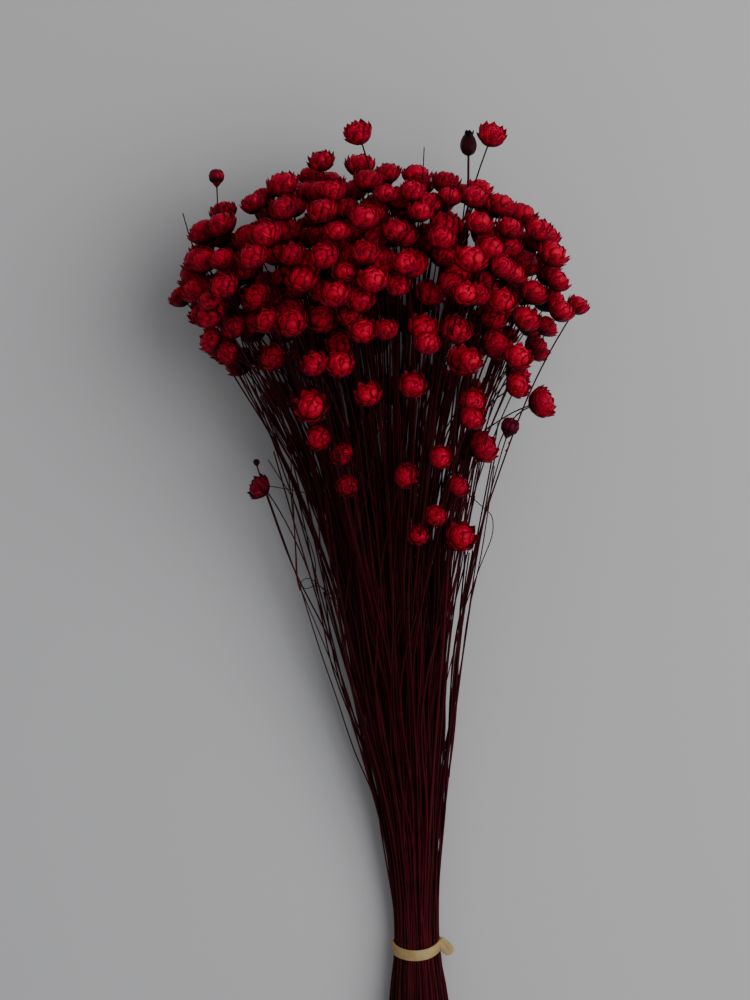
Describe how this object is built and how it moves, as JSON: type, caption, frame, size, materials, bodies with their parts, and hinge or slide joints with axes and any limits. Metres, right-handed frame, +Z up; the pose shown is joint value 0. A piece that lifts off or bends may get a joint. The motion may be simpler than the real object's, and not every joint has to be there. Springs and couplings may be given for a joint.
{
  "type": "preserved glixia",
  "caption": "Bunch of preserved glixia: small papery star blooms in a domed crown on thin wiry stems, tied low with a rubber band, for dried flower arrangements.",
  "frame": {"origin": "middle of the bunch's footprint, on the surface that it lies on", "axes": "+Y along the bunch from the cut ends to the blooms, +X to the right of the bunch seen from above, +Z up from the surface"},
  "size_m": [0.1832, 0.455, 0.1094],
  "materials": {
    "dyed_flower": "dyed papery bracts, satin on the outer faces and near black at their bases",
    "dark_flower": "dark dyed bud and seed capsule, matte",
    "band_rubber": "plain tan rubber, dull"
  },
  "bodies": {
    "root": {"strand_01": "dyed_flower", "strand_02": "dyed_flower", "strand_03": "dyed_flower", "strand_04": "dyed_flower", "strand_05": "dyed_flower", "strand_06": "dyed_flower", "strand_07": "dyed_flower", "strand_08": "dyed_flower", "strand_09": "dyed_flower", "strand_10": "dyed_flower", "strand_11": "dyed_flower", "strand_12": "dyed_flower", "strand_13": "dyed_flower", "strand_14": "dyed_flower", "strand_15": "dyed_flower", "strand_16": "dyed_flower", "strand_17": "dyed_flower", "strand_18": "dyed_flower", "strand_19": "dyed_flower", "strand_20": "dyed_flower", "strand_21": "dyed_flower", "strand_22": "dyed_flower", "strand_23": "dyed_flower", "strand_24": "dyed_flower", "strand_25": "dyed_flower", "strand_26": "dyed_flower", "strand_27": "dyed_flower", "strand_28": "dyed_flower", "strand_29": "dyed_flower", "strand_30": "dyed_flower", "strand_31": "dyed_flower", "strand_32": "dyed_flower", "strand_33": "dyed_flower", "strand_34": "dyed_flower", "strand_35": "dyed_flower", "strand_36": "dyed_flower", "strand_37": "dyed_flower", "strand_38": "dyed_flower", "strand_39": "dyed_flower", "strand_40": "dyed_flower", "strand_41": "dyed_flower", "strand_42": "dyed_flower", "tall_bloom_left": "dyed_flower", "tall_bloom_right": "dyed_flower", "proud_bloom": "dyed_flower", "right_bloom_far": "dyed_flower", "right_bloom_near": "dyed_flower", "right_star": "dyed_flower", "left_star": "dyed_flower", "low_bloom_right": "dyed_flower", "low_bloom_middle": "dyed_flower", "low_bloom_left": "dyed_flower", "resting_bloom_left": "dyed_flower", "resting_bloom_right": "dyed_flower", "seed_capsule": "dark_flower", "round_bud": "dark_flower", "closed_bloom": "dark_flower", "tiny_bud": "dark_flower", "rubber_band": "band_rubber"}
  },
  "joints": []
}
